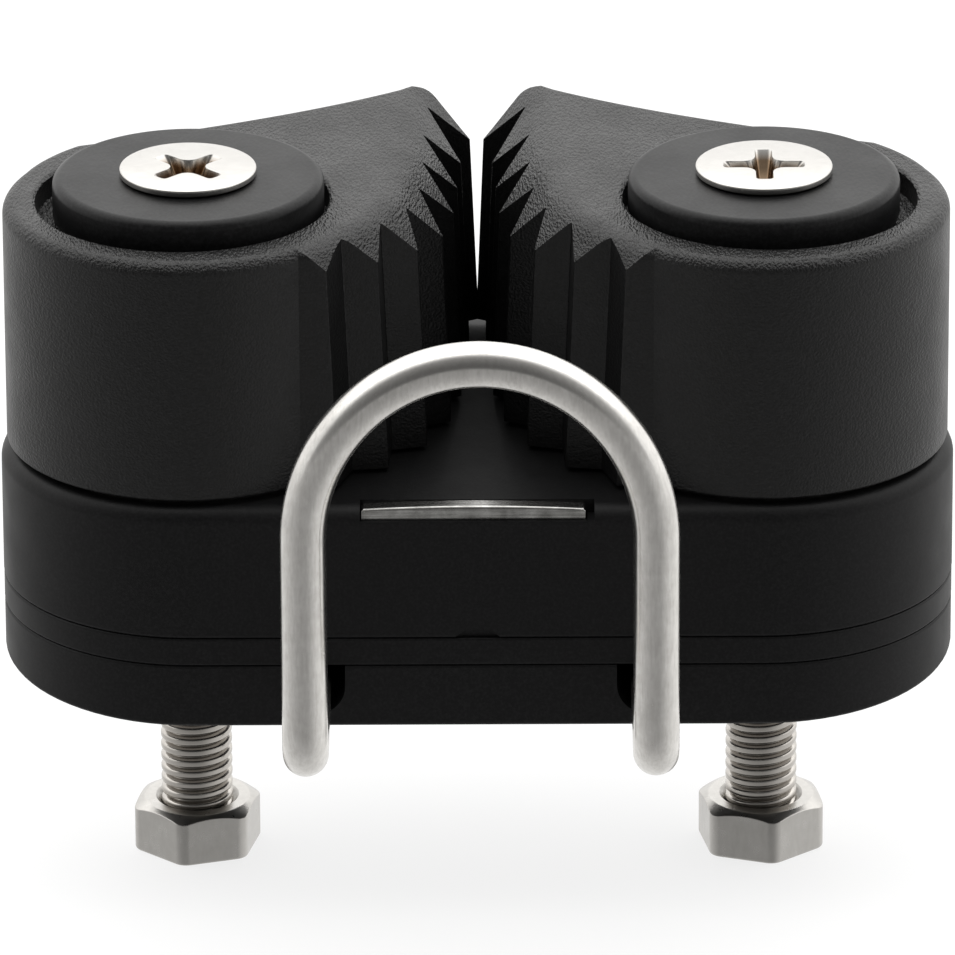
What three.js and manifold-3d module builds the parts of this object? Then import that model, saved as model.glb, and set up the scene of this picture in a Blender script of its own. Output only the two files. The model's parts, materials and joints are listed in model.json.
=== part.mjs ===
// Two-cam rope cleat on a tapered riser, with a wire fairlead in front.
// Millimetres, +Z up, +X to the right, +Y away from the fairlead. The origin is the
// middle of the riser's underside.
import * as THREE from 'three';
import Module from 'manifold-3d';
import { mergeVertices } from 'three/addons/utils/BufferGeometryUtils.js';

const wasm = await Module();
wasm.setup();

// ---- driving dimensions -------------------------------------------------
const PIVOT_X = 19;            // each screw, half of the 38 mm hole spacing
const END_R = 12.85;           // rounded ends of base, spacer and riser
const END_X = 18.85;           // centre of each rounded end
const SCREW_HOLE_R = 2.7;

const TAPER = Math.tan(THREE.MathUtils.degToRad(3.75)); // the riser's underside falls to the front
const RISER_TOP = 3.57;
const PLATE_TOP = 5.52;
const BASE_TOP = 14.75;
const BASE_EDGE_R = 1.2;
const CHANNEL_X = 7.7;         // half the width of the rope channel
const TONGUE_Y = 13.5;         // centre of the tongue's round end
const TONGUE_BOTTOM = 10.5;
const TONGUE_EDGE_R = 0.25;

const CAM_BOTTOM = 15.05;
const CAM_TOP = 31.8;
const CAM_R = 12.3;
const CAM_EDGE_R = 0.9;
const CAM_BORE_R = 6.08;
const TOOTH_PITCHES = 7;       // eight tips
const TOOTH_DEPTH = [2.6, 1.4]; // at the nose, at the heel
const TOOTH_DRAFT = 0.6;       // how far the teeth grow into the channel towards the bottom
const DRAFT_END = 16.5;        // below this height the teeth are upright
const CHAMFER_DROP = [3.55, 1.5]; // below the top at the tips, at the nose and the heel
const CHAMFER_SLOPE = THREE.MathUtils.degToRad(49);
const CHAMFER_BLEND_R = 2.4;
const RECESS_R = 9.7;
const RECESS_FLOOR = 30.15;
const RECESS_SHIFT = 0.4;

const BUSH_R = 6.0;
const BUSH_BORE_R = 3.55;
const SEAT_FLOOR = 11.75;      // bushes and sleeves stand here in the base
const CAP_R = 8.98;
const CAP_UNDER = 30.6;
const CAP_TOP = 33.37;
const CAP_EDGE_R = 0.75;
const SEAT_R = 4.42;           // widest part of the countersink in the cap
const SPIGOT_R = 3.5;          // below the cap, and the sleeve under it
const SPIGOT_END = 27.6;
const SLEEVE_BORE_R = 2.65;

const HEAD_R = 4.53;
const HEAD_TOP = 33.96;
const HEAD_SIDE = 0.4;         // upright edge above the countersink
const SHANK_R = 2.4;
const SCREW_END = -14.6;
const THREAD_PITCH = 0.8;
const THREAD_DEPTH = 0.42;
const THREAD_TOP = 1.7;
const NUT_AF = 7.8;
const NUT_BOTTOM = -14.85;
const NUT_H = 3.45;
const NUT_TOP_R = 3.55;        // flat circle inside the upper chamfer
const NUT_TURN = [-12.7, 10.9]; // left and right nut, in degrees

const POCKET_R = 8.6;          // spring pocket under each cam
const POCKET_TOP = 21;
const SPRING_R = 7.35;
const SPRING_WIRE = 0.9;
const SPRING_TURNS = 3.5;
const SPRING_Z = [16, 19.7];
const SPRING_LEG_END = [12.2, 23.2];
const WASHER_R = [8.9, 10.9];
const WASHER_Z = [14.5, 15.0];

const WIRE_R = 1.5;
const LEG_X = 11.4;            // half the leg spacing
const LEG_Y = -25.7;
const ARCH_TOP = 30.2;
const ARCH_H = 12.2;
const WIRE_BEND = 3;
const TAIL_Z = 1.95;
const HOOK_Y = -5.5;           // the tails turn outwards here, in front of the screws
const HOOK_X = 21;
const WIRE_SHIFT = 0.2;
const GROOVE_R = 2;            // wider than the wire, which lies on its outer side
const GROOVE_OFFSET = 0.43;    // of each groove, towards the middle
const GROOVE_LIFT = 0.15;

const STRIP_W = 14.7;          // steel strip along the front edge of the rope channel
const STRIP_SHIFT = -0.25;
const STRIP_Z = [13.85, 14.78];
const STRIP_Y = [-12.5, -11.3];
const STRIP_CROWN = 0.2;       // share of its height that it loses towards its ends
const STRIP_LIP_R = 0.2;
const TAB_W = 0.9;
const TAB_END = 11.4;
const TAB_Y = [-12.3, -11.5];

// ---- helpers ------------------------------------------------------------
function solid(geometry) {
  const plain = new THREE.BufferGeometry();
  plain.setAttribute('position', geometry.getAttribute('position').clone());
  if (geometry.index) plain.setIndex(geometry.index.clone());
  const g = mergeVertices(plain, 1e-5);
  const p = g.getAttribute('position').array;
  const idx = [];
  for (let i = 0; i < g.index.count; i += 3) {
    const [a, b, c] = [g.index.getX(i), g.index.getX(i + 1), g.index.getX(i + 2)];
    if (a !== b && b !== c && c !== a) idx.push(a, b, c);
  }
  let volume = 0;
  const at = (i) => new THREE.Vector3(p[3 * i], p[3 * i + 1], p[3 * i + 2]);
  for (let i = 0; i < idx.length; i += 3) {
    volume += at(idx[i]).dot(at(idx[i + 1]).cross(at(idx[i + 2])));
  }
  if (volume < 0) idx.reverse();
  return new wasm.Manifold(new wasm.Mesh({
    numProp: 3, vertProperties: new Float32Array(p), triVerts: new Uint32Array(idx),
  }));
}

// A named mesh of a body, mirrored in X on request and moved along X.
function named(name, body, material, x = 0, mirrored = false) {
  const m = body.getMesh();
  const g = new THREE.BufferGeometry();
  g.setAttribute('position', new THREE.BufferAttribute(m.vertProperties, 3));
  g.setIndex(new THREE.BufferAttribute(m.triVerts, 1));
  if (mirrored) {
    g.scale(-1, 1, 1);
    g.index.array.reverse();
  }
  g.computeVertexNormals();
  const mesh = new THREE.Mesh(g, material);
  mesh.name = name;
  mesh.position.x = x;
  return mesh;
}

function cyl(r, z0, z1, x = 0, y = 0, seg = 48) {
  const g = new THREE.CylinderGeometry(r, r, z1 - z0, seg).rotateX(Math.PI / 2);
  return solid(g.translate(x, y, (z0 + z1) / 2));
}

function box(x0, x1, y0, y1, z0, z1) {
  const g = new THREE.BoxGeometry(x1 - x0, y1 - y0, z1 - z0);
  return solid(g.translate((x0 + x1) / 2, (y0 + y1) / 2, (z0 + z1) / 2));
}

function turned(profile, seg = 48) {
  const pts = profile.map(([r, z]) => new THREE.Vector2(r, z));
  if (profile[0][0] > 0) pts.push(pts[0].clone());
  return solid(new THREE.LatheGeometry(pts, seg).rotateX(Math.PI / 2));
}

// A closed body through rings of points, each with the same number, from the bottom up.
function loftGeometry(rings) {
  const n = rings[0].length;
  const pos = rings.flat(2);
  const idx = [];
  for (let k = 0; k + 1 < rings.length; k++) {
    for (let i = 0; i < n; i++) {
      const [a, b] = [k * n + i, k * n + ((i + 1) % n)];
      idx.push(a, b, b + n, a, b + n, a + n);
    }
  }
  const flat = (ring) => ring.map(([x, y]) => new THREE.Vector2(x, y));
  const top = (rings.length - 1) * n;
  for (const [a, b, c] of THREE.ShapeUtils.triangulateShape(flat(rings[0]), [])) idx.push(a, c, b);
  for (const [a, b, c] of THREE.ShapeUtils.triangulateShape(flat(rings.at(-1)), [])) {
    idx.push(top + a, top + b, top + c);
  }
  const g = new THREE.BufferGeometry();
  g.setAttribute('position', new THREE.Float32BufferAttribute(pos, 3));
  g.setIndex(idx);
  return g;
}

function loft(rings) {
  return solid(loftGeometry(rings));
}

// A round bar along a list of points.
function bar(points, r, steps, sides = 12) {
  const path = new THREE.CatmullRomCurve3(points, false, 'centripetal');
  const disc = new THREE.Shape().absarc(0, 0, r, 0, 2 * Math.PI);
  const options = { steps, extrudePath: path, curveSegments: sides / 2 };
  return solid(new THREE.ExtrudeGeometry(disc, options));
}

// The long rounded outline shared by base, spacer and riser.
function outline(r, height, n = 22) {
  const pts = [];
  for (const side of [1, -1]) {
    for (let i = 0; i <= n; i++) {
      const a = -side * Math.PI / 2 + Math.PI * i / n;
      const [x, y] = [side * END_X + r * Math.cos(a), r * Math.sin(a)];
      pts.push([x, y, height(y)]);
    }
  }
  return pts;
}

function both(make) {
  return [make(-1), make(1)];
}

// ---- materials ----------------------------------------------------------
function plastic(color, roughness) {
  return new THREE.MeshStandardMaterial({ color, roughness, metalness: 0 });
}
function steel(color, roughness) {
  return new THREE.MeshStandardMaterial({ color, roughness, metalness: 1 });
}

// ---- sub-parts ----------------------------------------------------------
function screwHoles(body, z0, z1) {
  for (const x of [-PIVOT_X, PIVOT_X]) body = body.subtract(cyl(SCREW_HOLE_R, z0, z1, x, 0, 32));
  return body;
}

function riserPad() {
  const under = outline(END_R - 0.1, (y) => TAPER * y);
  const body = loft([under, outline(END_R - 0.03, () => RISER_TOP)]);
  let cut = screwHoles(body, -2, 5);
  const zc = TAIL_Z + GROOVE_LIFT;
  for (const side of [-1, 1]) {
    const [x, xh] = [WIRE_SHIFT + side * (LEG_X - GROOVE_OFFSET), side * (HOOK_X + 1)];
    const along = new THREE.CylinderGeometry(GROOVE_R, GROOVE_R, 9, 24);
    cut = cut.subtract(solid(along.translate(x, HOOK_Y - 4.5, zc)));
    const across = new THREE.CylinderGeometry(GROOVE_R, GROOVE_R, Math.abs(xh - x), 24);
    cut = cut.subtract(solid(across.rotateZ(Math.PI / 2).translate((x + xh) / 2, HOOK_Y, zc)));
    const [xa, xb] = [Math.min(x, xh), Math.max(x, xh)];
    cut = cut.subtract(box(x - GROOVE_R, x + GROOVE_R, HOOK_Y - 9, HOOK_Y, zc, 5));
    cut = cut.subtract(box(xa, xb, HOOK_Y - GROOVE_R, HOOK_Y + GROOVE_R, zc, 5));
    cut = cut.subtract(solid(new THREE.SphereGeometry(GROOVE_R, 24, 16).translate(x, HOOK_Y, zc)));
    cut = cut.subtract(cyl(GROOVE_R, zc, 5, x, HOOK_Y, 24));
  }
  return named('riser_pad', cut, plastic(0x17181a, 0.6));
}

function spacerPlate() {
  const body = loft([outline(END_R - 0.02, () => RISER_TOP), outline(END_R - 0.02, () => PLATE_TOP)]);
  return named('spacer_plate', screwHoles(body, 3, 6), plastic(0x1a1b1d, 0.55));
}

// Half-round tongue behind the base, under the cams' noses.
function tongue() {
  const profile = [[0, TONGUE_BOTTOM], [CHANNEL_X, TONGUE_BOTTOM]];
  for (let i = 0; i <= 4; i++) {
    const a = (Math.PI / 2) * (i / 4);
    const [inset, drop] = [1 - Math.cos(a), 1 - Math.sin(a)].map((share) => share * TONGUE_EDGE_R);
    profile.push([CHANNEL_X - inset, BASE_TOP - drop]);
  }
  profile.push([0, BASE_TOP]);
  return turned(profile, 64).translate([0, TONGUE_Y, 0]);
}

function base() {
  const rings = [outline(END_R, () => PLATE_TOP)];
  for (let i = 0; i <= 4; i++) {
    const a = (Math.PI / 2) * (i / 4);
    const inset = BASE_EDGE_R * (1 - Math.cos(a));
    const z = BASE_TOP - BASE_EDGE_R * (1 - Math.sin(a));
    rings.push(outline(END_R - inset, () => z));
  }
  let body = screwHoles(loft(rings).add(tongue()), 5, 15);
  for (const side of [-1, 1]) {
    const x = side * PIVOT_X;
    body = body.subtract(cyl(BUSH_R + 0.05, SEAT_FLOOR, 16, x));
    const ring = cyl(WASHER_R[1] + 0.1, WASHER_Z[0] - 0.02, 16, x)
      .subtract(cyl(WASHER_R[0] - 0.1, 14, 17, x));
    body = body.subtract(ring);
    const a = springAngle(side, 0);
    body = body.subtract(cyl(0.7, SPRING_LEG_END[0] - 0.3, 16,
      x + SPRING_R * Math.cos(a), SPRING_R * Math.sin(a), 16));
  }
  // recess for the wear strip, open at the front, with two slots for its tabs
  body = body.subtract(box(-CHANNEL_X, CHANNEL_X, -14, STRIP_Y[1] + 0.1, STRIP_Z[0] - 0.02, 16));
  for (const x of tabPlaces()) {
    body = body.subtract(box(x - 0.1, x + TAB_W + 0.1, TAB_Y[0] - 0.1, TAB_Y[1] + 0.1, TAB_END - 0.2, 15));
  }
  // pockets that open underneath keep the wall even
  for (const x of [-5.2, 0, 5.2]) {
    body = body.subtract(box(x - 1.9, x + 1.9, -10, -2.8, 5, 10.5));
    body = body.subtract(box(x - 1.9, x + 1.9, 2.8, 10, 5, 10.5));
  }
  // gate scar at the lower front edge
  const scar = new THREE.CylinderGeometry(1.9, 1.9, 1, 24);
  body = body.subtract(solid(scar.translate(0, -END_R - 0.2, PLATE_TOP - 1.15)));
  return named('base', body, plastic(0x151618, 0.55));
}

function tabPlaces() {
  return [STRIP_SHIFT - STRIP_W / 2, STRIP_SHIFT + STRIP_W / 2 - TAB_W];
}

// A crowned strip with a rolled front lip and two tabs down into the base.
function wearStrip() {
  const [bed, top] = STRIP_Z;
  const section = [[STRIP_Y[0], bed], [STRIP_Y[1], bed], [STRIP_Y[1], top]];
  for (let i = 0; i <= 5; i++) {
    const a = (Math.PI / 2) * (1 + i / 5);
    section.push([STRIP_Y[0] + STRIP_LIP_R * (1 + Math.cos(a)), top - STRIP_LIP_R * (1 - Math.sin(a))]);
  }
  const stations = Array.from({ length: 9 }, (_, k) => {
    const u = k / 4 - 1;
    const keep = 1 - STRIP_CROWN * u * u;
    return section.map(([y, z]) => [y, bed + (z - bed) * keep, STRIP_SHIFT + u * STRIP_W / 2]);
  });
  const strip = loftGeometry(stations);
  let body = solid(strip.rotateX(Math.PI / 2).rotateZ(Math.PI / 2));
  for (const x of tabPlaces()) {
    body = body.add(box(x, x + TAB_W, TAB_Y[0], TAB_Y[1], TAB_END, bed + 0.2));
  }
  return named('wear_strip', body, steel(0xc9ccce, 0.3));
}

// Curve through the tooth tips of the left cam, from the nose to the heel, about its pivot.
function toothLine() {
  const points = [[18.35, 19.9], [16.4, 8.7], [20.2, -0.9], [9.2, -9.7]];
  return new THREE.CubicBezierCurve(...points.map(([x, y]) => new THREE.Vector2(x, y)));
}

// Left cam outline about its own pivot, channel on +X. Each entry: point, inward normal,
// how far its top edge rounds, how far it grows with the draft.
function camOutline() {
  const tips = toothLine().getSpacedPoints(TOOTH_PITCHES);
  const pts = [];
  tips.forEach((p, i) => {
    pts.push({ p, n: new THREE.Vector2(-1, 0), edge: 0, draft: 1 });
    if (i === TOOTH_PITCHES) return;
    const q = tips[i + 1];
    const along = q.clone().sub(p).normalize();
    const n = new THREE.Vector2(along.y, -along.x);
    const d = THREE.MathUtils.lerp(TOOTH_DEPTH[0], TOOTH_DEPTH[1], i / (TOOTH_PITCHES - 1));
    const root = p.clone().lerp(q, 0.42).addScaledVector(n, d);
    pts.push({ p: root, n: new THREE.Vector2(-1, 0), edge: 0, draft: 1 });
  });
  // heel: from the last tip back to the round, then round the far side
  pts.push({ p: new THREE.Vector2(8.6, -9.75), n: new THREE.Vector2(-0.7, 0.7), edge: 0.3, draft: 0.6 });
  for (let a = -53; a >= -232; a -= 5.424242) {
    const t = THREE.MathUtils.degToRad(a);
    const u = new THREE.Vector2(Math.cos(t), Math.sin(t));
    const rise = Math.max(0, -a - 205) * 0.018;
    const p = u.clone().multiplyScalar(CAM_R + rise);
    pts.push({ p, n: u.negate(), edge: 1, draft: 0 });
  }
  // back edge out to the nose
  const back = new THREE.CubicBezierCurve(pts.at(-1).p, new THREE.Vector2(0.5, 13.2),
    new THREE.Vector2(8, 16.3), new THREE.Vector2(14.4, 21.0));
  back.getSpacedPoints(8).slice(1).forEach((p, i) => {
    pts.push({ p, n: new THREE.Vector2(0.45, -0.89), edge: 1 - 0.25 * (i === 7), draft: 0 });
  });
  pts.push({ p: new THREE.Vector2(15.3, 20.95), n: new THREE.Vector2(0, -1), edge: 0.8, draft: 0 });
  return pts.reverse();
}

function camRing(pts, z, inset, grow) {
  return pts.map(({ p, n, edge, draft }) => {
    const x = p.x + n.x * inset * edge + grow * draft;
    const y = p.y + n.y * inset * edge;
    return [x, y, z];
  });
}

// Sloping cut along the top of the teeth, with a round blend into the flat top.
function chamferCutter() {
  const steps = 28;
  const stations = toothLine().getSpacedPoints(steps).map((p, i) => ({ p, s: i / steps }));
  const dir = (a, b) => b.clone().sub(a).normalize();
  const first = dir(stations[1].p, stations[0].p);
  const last = dir(stations[steps - 1].p, stations[steps].p);
  stations.unshift({ p: stations[0].p.clone().addScaledVector(first, 3), s: 0 });
  stations.push({ p: stations.at(-1).p.clone().addScaledVector(last, 5), s: 1.35 });
  const rings = stations.map(({ p, s }, k) => {
    const t = dir(stations[Math.max(0, k - 1)].p, stations[Math.min(stations.length - 1, k + 1)].p);
    const drop = THREE.MathUtils.lerp(CHAMFER_DROP[0], CHAMFER_DROP[1], Math.max(0, (s - 0.55) / 0.45));
    return chamferSection(drop).map(([u, z]) => [p.x - t.y * u, z, -p.y - t.x * u]).reverse();
  });
  return solid(loftGeometry(rings).rotateX(Math.PI / 2));
}

// (distance out from the tooth tips, height) round the cut's section.
function chamferSection(drop) {
  const above = CAM_TOP + 1.5;
  const foot = (CHAMFER_BLEND_R * (1 - Math.cos(CHAMFER_SLOPE)) - drop) / Math.tan(CHAMFER_SLOPE);
  const section = [[4, above], [4, CAM_TOP - drop - 4 * Math.tan(CHAMFER_SLOPE)]];
  for (const share of [1, 0.8, 0.6, 0.4, 0.2]) {
    const a = CHAMFER_SLOPE * share;
    section.push([foot - CHAMFER_BLEND_R * (Math.sin(CHAMFER_SLOPE) - Math.sin(a)),
      CAM_TOP - CHAMFER_BLEND_R * (1 - Math.cos(a))]);
  }
  const [u, z] = section.at(-1);
  const run = 0.8;
  section.push([u - run, z + run * Math.tan(CHAMFER_SLOPE * 0.2)], [u - run, above]);
  return section;
}

function springAngle(side, end) {
  // legs of the left spring; the right one mirrors it
  const a = end ? Math.PI * 0.75 + 2 * Math.PI * (SPRING_TURNS % 1) : Math.PI * 0.75;
  return side < 0 ? a : Math.PI - a;
}

function camBody() {
  const pts = camOutline();
  const foot = 0.3;
  const low = [[CAM_BOTTOM, foot], [CAM_BOTTOM + foot, 0], [DRAFT_END, 0]];
  const rings = low.map(([z, inset]) => camRing(pts, z, inset, TOOTH_DRAFT));
  for (let i = 0; i <= 4; i++) {
    const a = (Math.PI / 2) * (i / 4);
    const z = CAM_TOP - CAM_EDGE_R * (1 - Math.sin(a));
    rings.push(camRing(pts, z, CAM_EDGE_R * (1 - Math.cos(a)), 0));
  }
  let body = loft(rings).subtract(chamferCutter());
  body = body.subtract(cyl(RECESS_R, RECESS_FLOOR, 34, -RECESS_SHIFT));
  body = body.subtract(cyl(CAM_BORE_R, 10, 34));
  body = body.subtract(cyl(POCKET_R, 10, POCKET_TOP));
  const a = springAngle(-1, 1);
  return body.subtract(cyl(0.7, 18, SPRING_LEG_END[1] + 0.3,
    SPRING_R * Math.cos(a), SPRING_R * Math.sin(a), 16));
}

function cams() {
  const body = camBody();
  return both((side) => named(side < 0 ? 'cam_left' : 'cam_right', body,
    plastic(0x26282a, 0.7), side * PIVOT_X, side > 0));
}

function caps() {
  return both((side) => {
    const body = turned([[SLEEVE_BORE_R, SPIGOT_END], [SPIGOT_R, SPIGOT_END], [SPIGOT_R, CAP_UNDER],
      [CAP_R, CAP_UNDER], [CAP_R, CAP_TOP - CAP_EDGE_R], [CAP_R - CAP_EDGE_R, CAP_TOP],
      [SEAT_R, CAP_TOP], [SLEEVE_BORE_R, CAP_TOP - SEAT_R + SLEEVE_BORE_R]]);
    return named(side < 0 ? 'cap_left' : 'cap_right', body, plastic(0x1d1e20, 0.45), side * PIVOT_X);
  });
}

function bushes() {
  return both((side) => {
    const r = BUSH_BORE_R;
    const body = turned([[r, SEAT_FLOOR], [BUSH_R, SEAT_FLOOR], [BUSH_R, CAP_UNDER - 0.02],
      [r, CAP_UNDER - 0.02]]);
    return named(side < 0 ? 'bush_left' : 'bush_right', body, plastic(0xe8e4d8, 0.5), side * PIVOT_X);
  });
}

function sleeves() {
  return both((side) => {
    const body = turned([[SLEEVE_BORE_R, SEAT_FLOOR], [SPIGOT_R, SEAT_FLOOR],
      [SPIGOT_R, SPIGOT_END - 0.02], [SLEEVE_BORE_R, SPIGOT_END - 0.02]], 32);
    return named(side < 0 ? 'sleeve_left' : 'sleeve_right', body, steel(0xbfc2c4, 0.35), side * PIVOT_X);
  });
}

function washers() {
  return both((side) => {
    const body = turned([[WASHER_R[0], WASHER_Z[0]], [WASHER_R[1], WASHER_Z[0]],
      [WASHER_R[1], WASHER_Z[1]], [WASHER_R[0], WASHER_Z[1]]]);
    return named(side < 0 ? 'thrust_washer_left' : 'thrust_washer_right', body,
      plastic(0xddd8c8, 0.5), side * PIVOT_X);
  });
}

function springs() {
  return both((side) => {
    const [z0, z1] = SPRING_Z;
    const start = springAngle(side, 0);
    const turn = side < 0 ? 1 : -1;
    const pts = [];
    const at = (a, z) => new THREE.Vector3(SPRING_R * Math.cos(a), SPRING_R * Math.sin(a), z);
    pts.push(at(start, SPRING_LEG_END[0]), at(start, (SPRING_LEG_END[0] + z0) / 2), at(start, z0 - 0.7));
    const n = 56;
    for (let i = 1; i < n; i++) {
      const t = i / n;
      pts.push(at(start + turn * 2 * Math.PI * SPRING_TURNS * t, z0 + (z1 - z0) * t));
    }
    const end = springAngle(side, 1);
    pts.push(at(end, z1 + 0.6), at(end, (SPRING_LEG_END[1] + z1) / 2), at(end, SPRING_LEG_END[1]));
    const body = bar(pts, SPRING_WIRE / 2, 84, 6);
    return named(side < 0 ? 'spring_left' : 'spring_right', body, steel(0x9a9da0, 0.35), side * PIVOT_X);
  });
}

function screws() {
  return both((side) => {
    const root = SHANK_R - THREAD_DEPTH;
    const profile = [[0, SCREW_END], [root - 0.03, SCREW_END], [root, SCREW_END + 0.2]];
    for (let z = SCREW_END + 0.3; z < THREAD_TOP - THREAD_PITCH; z += THREAD_PITCH) {
      profile.push([root, z], [SHANK_R, z + THREAD_PITCH / 2]);
    }
    profile.push([root, THREAD_TOP], [SHANK_R, THREAD_TOP + 0.6]);
    profile.push([SHANK_R, HEAD_TOP - HEAD_SIDE - HEAD_R + SHANK_R], [HEAD_R, HEAD_TOP - HEAD_SIDE],
      [HEAD_R, HEAD_TOP - 0.14], [HEAD_R - 0.14, HEAD_TOP - 0.03], [0, HEAD_TOP]);
    let body = turned(profile, 24);
    for (const a of [0, 90]) {
      const arm = loftGeometry([[1.1, 0.42], [2.65, 0.65]].map(([x, y], k) => {
        const z = k ? HEAD_TOP + 0.1 : HEAD_TOP - 2.1;
        return [[-x, -y, z], [x, -y, z], [x, y, z], [-x, y, z]];
      }));
      const turn = THREE.MathUtils.degToRad(a + (side < 0 ? 45 : 0));
      body = body.subtract(solid(arm.rotateZ(turn)));
    }
    return named(side < 0 ? 'screw_left' : 'screw_right', body, steel(0xd8dadb, 0.28), side * PIVOT_X);
  });
}

function nuts() {
  return both((side) => {
    const corner = NUT_AF / Math.sqrt(3);
    const [z0, z1] = [NUT_BOTTOM, NUT_BOTTOM + NUT_H];
    const turn = THREE.MathUtils.degToRad(NUT_TURN[side < 0 ? 0 : 1]);
    const ring = (z) => Array.from({ length: 6 }, (_, k) => {
      const a = -Math.PI / 2 + turn + k * Math.PI / 3;
      return [corner * Math.cos(a), corner * Math.sin(a), z];
    });
    const slope = (corner + 0.2 - NUT_TOP_R) * Math.tan(Math.PI / 6);
    const envelope = turned([[0, z0], [corner - 0.15, z0], [corner + 0.2, z0 + 0.35],
      [corner + 0.2, z1 - slope], [NUT_TOP_R, z1], [0, z1]], 48);
    const [wide, narrow] = [SHANK_R + 0.35, SHANK_R + 0.05];
    const bore = turned([[0, z0 - 1], [wide, z0 - 1], [wide, z0], [narrow, z0 + 0.4],
      [narrow, z1 - 0.4], [wide, z1], [wide, z1 + 1], [0, z1 + 1]], 32);
    const body = loft([ring(z0), ring(z1)]).intersect(envelope).subtract(bore);
    return named(side < 0 ? 'nut_left' : 'nut_right', body, steel(0xcfd2d3, 0.3), side * PIVOT_X);
  });
}

function arc(cx, cy, r, a0, a1, n, place) {
  return Array.from({ length: n + 1 }, (_, i) => {
    const a = a0 + (a1 - a0) * i / n;
    return place(cx + r * Math.cos(a), cy + r * Math.sin(a));
  });
}

function wireFairlead() {
  const half = [];
  const P = (x, y, z) => new THREE.Vector3(x, y, z);
  // right half, from the crown down and back to the hooked end
  for (let i = 1; i <= 14; i++) {
    const a = (Math.PI / 2) * (i / 14);
    half.push(P(LEG_X * Math.sin(a), LEG_Y, ARCH_TOP - ARCH_H + ARCH_H * Math.cos(a)));
  }
  half.push(P(LEG_X, LEG_Y, 14), P(LEG_X, LEG_Y, 9));
  half.push(...arc(LEG_Y + WIRE_BEND, TAIL_Z + WIRE_BEND, WIRE_BEND, Math.PI, 1.5 * Math.PI, 6,
    (y, z) => P(LEG_X, y, z)));
  half.push(P(LEG_X, -18, TAIL_Z), P(LEG_X, -13, TAIL_Z));
  half.push(...arc(LEG_X + 1.8, HOOK_Y - 1.8, 1.8, Math.PI, Math.PI / 2, 5,
    (x, y) => P(x, y, TAIL_Z)));
  half.push(P(17, HOOK_Y, TAIL_Z), P(HOOK_X, HOOK_Y, TAIL_Z));
  const left = half.map((p) => P(-p.x, p.y, p.z)).reverse();
  const body = bar([...left, P(0, LEG_Y, ARCH_TOP), ...half], WIRE_R, 112, 12);
  return named('wire_fairlead', body, steel(0xc4c2be, 0.4), WIRE_SHIFT);
}

// ---- assembly -----------------------------------------------------------
const cleat = new THREE.Group();
cleat.name = 'cam_cleat';
cleat.add(riserPad(), spacerPlate(), base(), wearStrip(), wireFairlead());
cleat.add(...cams(), ...caps(), ...bushes(), ...sleeves(), ...washers());
cleat.add(...springs(), ...screws(), ...nuts());
export default cleat;
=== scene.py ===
"""Finish and studio for a two-cam rope cleat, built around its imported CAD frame."""

import json
import math

import bmesh
import bpy
from mathutils import Matrix, Vector


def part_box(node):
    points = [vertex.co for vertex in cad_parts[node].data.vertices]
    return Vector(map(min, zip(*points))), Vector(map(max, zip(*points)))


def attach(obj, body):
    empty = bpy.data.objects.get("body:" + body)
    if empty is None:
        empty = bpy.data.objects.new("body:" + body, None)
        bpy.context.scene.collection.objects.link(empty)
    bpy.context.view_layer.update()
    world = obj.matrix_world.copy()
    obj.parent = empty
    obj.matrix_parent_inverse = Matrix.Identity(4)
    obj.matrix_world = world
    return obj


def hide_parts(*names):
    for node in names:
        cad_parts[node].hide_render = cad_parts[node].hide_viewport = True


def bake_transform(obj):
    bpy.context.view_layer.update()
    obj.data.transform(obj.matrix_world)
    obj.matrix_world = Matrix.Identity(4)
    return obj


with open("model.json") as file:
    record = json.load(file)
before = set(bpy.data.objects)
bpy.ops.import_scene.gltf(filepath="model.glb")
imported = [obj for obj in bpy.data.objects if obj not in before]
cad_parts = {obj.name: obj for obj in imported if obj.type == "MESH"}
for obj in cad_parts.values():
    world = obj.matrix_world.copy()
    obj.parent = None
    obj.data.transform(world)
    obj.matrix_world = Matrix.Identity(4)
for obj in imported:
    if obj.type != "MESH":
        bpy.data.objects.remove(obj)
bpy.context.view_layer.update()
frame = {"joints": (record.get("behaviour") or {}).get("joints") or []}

MM = 0.001
SIDES = {-1: "left", 1: "right"}


def box_mm(node):
    """Lowest and highest corner of a CAD node, in millimetres."""
    lo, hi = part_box(node)
    return lo / MM, hi / MM


# ---- sizes that the frame gives, in millimetres -------------------------
PAD_LO, PAD_HI = box_mm("riser_pad")
PLATE_LO, PLATE_HI = box_mm("spacer_plate")
BASE_LO, BASE_HI = box_mm("base")
STRIP_LO, STRIP_HI = box_mm("wear_strip")
WIRE_LO, WIRE_HI = box_mm("wire_fairlead")
CAM_LO, CAM_HI = box_mm("cam_left")
CAP_LO, CAP_HI = box_mm("cap_left")
BUSH_LO, BUSH_HI = box_mm("bush_left")
SLEEVE_LO, SLEEVE_HI = box_mm("sleeve_left")
WASHER_LO, WASHER_HI = box_mm("thrust_washer_left")
SPRING_LO, SPRING_HI = box_mm("spring_left")
SCREW_LO, SCREW_HI = box_mm("screw_left")
NUT_LO, NUT_HI = box_mm("nut_left")
PIVOT_X = frame["joints"][1]["pos_m"][0] / MM

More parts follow.
